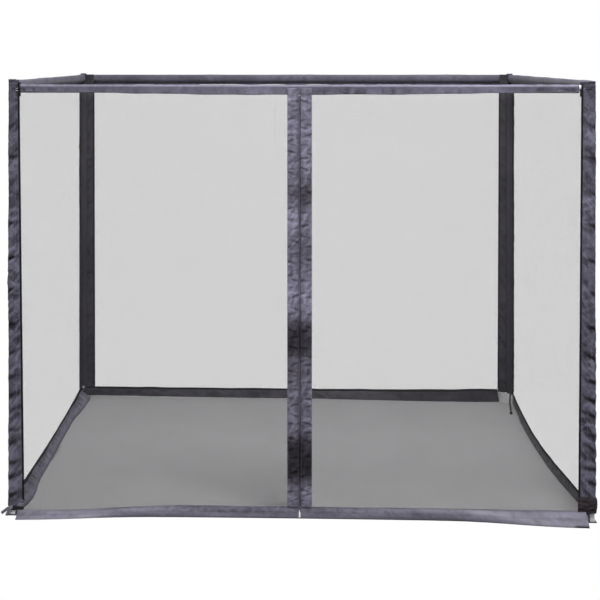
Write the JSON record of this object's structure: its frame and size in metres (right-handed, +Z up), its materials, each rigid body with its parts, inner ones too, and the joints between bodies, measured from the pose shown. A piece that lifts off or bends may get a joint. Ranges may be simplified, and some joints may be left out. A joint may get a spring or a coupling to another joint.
{
  "type": "screen house",
  "caption": "Square netting room on a telescopic-leg frame, with cloth corner sleeves, top bands and hems, a groundsheet and a zipped two-leaf front.",
  "frame": {"origin": "centre of the floor, on the ground", "axes": "+X to the right of a person facing the zipped front from outside, +Y to the rear, +Z up"},
  "size_m": [2.9604, 2.9994, 2.2],
  "materials": {
    "steel": "satin",
    "metal": "satin",
    "black_plastic": "matte",
    "oxford_cloth": "satin",
    "netting": "matte",
    "webbing": "matte",
    "zip": "satin",
    "floor_cloth": "matte"
  },
  "bodies": {
    "frame": {"leg_upper_fl": "steel", "corner_joint_fl": "black_plastic", "corner_sleeve_fl": "oxford_cloth", "corner_strap_fl": "webbing", "leg_upper_fr": "steel", "corner_joint_fr": "black_plastic", "corner_sleeve_fr": "oxford_cloth", "corner_strap_fr": "webbing", "leg_upper_rl": "steel", "corner_joint_rl": "black_plastic", "corner_sleeve_rl": "oxford_cloth", "corner_strap_rl": "webbing", "leg_upper_rr": "steel", "corner_joint_rr": "black_plastic", "corner_sleeve_rr": "oxford_cloth", "corner_strap_rr": "webbing", "top_rail_front_a": "steel", "top_rail_front_b": "steel", "top_band_front": "oxford_cloth", "top_rail_rear_a": "steel", "top_rail_rear_b": "steel", "top_band_rear": "oxford_cloth", "top_rail_left_a": "steel", "top_rail_left_b": "steel", "top_band_left": "oxford_cloth", "top_rail_right_a": "steel", "top_rail_right_b": "steel", "top_band_right": "oxford_cloth", "wall_mesh_rear": "netting", "hem_rear": "oxford_cloth", "wall_mesh_left": "netting", "hem_left": "oxford_cloth", "wall_mesh_right": "netting", "hem_right": "oxford_cloth", "band_ring_left": "metal", "band_ring_right": "metal", "ground_sheet": "floor_cloth"},
    "leg_extension_fl": {"leg_lower_fl": "steel", "foot_fl": "black_plastic", "snap_button_fl": "metal"},
    "leg_extension_fr": {"leg_lower_fr": "steel", "foot_fr": "black_plastic", "snap_button_fr": "metal"},
    "leg_extension_rl": {"leg_lower_rl": "steel", "foot_rl": "black_plastic", "snap_button_rl": "metal"},
    "leg_extension_rr": {"leg_lower_rr": "steel", "foot_rr": "black_plastic", "snap_button_rr": "metal"},
    "door_left": {"leaf_mesh_left": "netting", "leaf_hem_left": "oxford_cloth", "leaf_strip_left": "oxford_cloth", "zip_chain_left": "zip"},
    "door_right": {"leaf_mesh_right": "netting", "leaf_hem_right": "oxford_cloth", "leaf_strip_right": "oxford_cloth", "zip_chain_right": "zip"},
    "slider": {"zip_slider": "metal"},
    "pull_outer": {"zip_pull_outer": "metal"},
    "pull_inner": {"zip_pull_inner": "metal"}
  },
  "joints": [
    {"name": "leg_slide_fl", "type": "slide", "parent": "frame", "child": "leg_extension_fl", "axis": [0, 0, 1], "range_m": [-0.1, 0], "deforming": ["snap_button_fl"]},
    {"name": "leg_slide_fr", "type": "slide", "parent": "frame", "child": "leg_extension_fr", "axis": [0, 0, 1], "range_m": [-0.1, 0], "deforming": ["snap_button_fr"]},
    {"name": "leg_slide_rl", "type": "slide", "parent": "frame", "child": "leg_extension_rl", "axis": [0, 0, 1], "range_m": [-0.1, 0], "deforming": ["snap_button_rl"]},
    {"name": "leg_slide_rr", "type": "slide", "parent": "frame", "child": "leg_extension_rr", "axis": [0, 0, 1], "range_m": [-0.1, 0], "deforming": ["snap_button_rr"]},
    {"name": "door_slide_left", "type": "slide", "parent": "frame", "child": "door_left", "axis": [-1, 0, 0], "range_m": [0, 1.15], "deforming": ["leaf_mesh_left", "leaf_hem_left"]},
    {"name": "door_slide_right", "type": "slide", "parent": "frame", "child": "door_right", "axis": [1, 0, 0], "range_m": [0, 1.15], "deforming": ["leaf_mesh_right", "leaf_hem_right"]},
    {"name": "zip_slide", "type": "slide", "parent": "door_left", "child": "slider", "axis": [0, 0, 1], "range_m": [0, 2.05]},
    {"name": "pull_hinge_outer", "type": "hinge", "parent": "slider", "child": "pull_outer", "pos_m": [0, -1.4774, 0.0425], "axis": [-1, 0, 0], "range_deg": [0, 150]},
    {"name": "pull_hinge_inner", "type": "hinge", "parent": "slider", "child": "pull_inner", "pos_m": [0, -1.465, 0.0425], "axis": [1, 0, 0], "range_deg": [0, 150]}
  ]
}
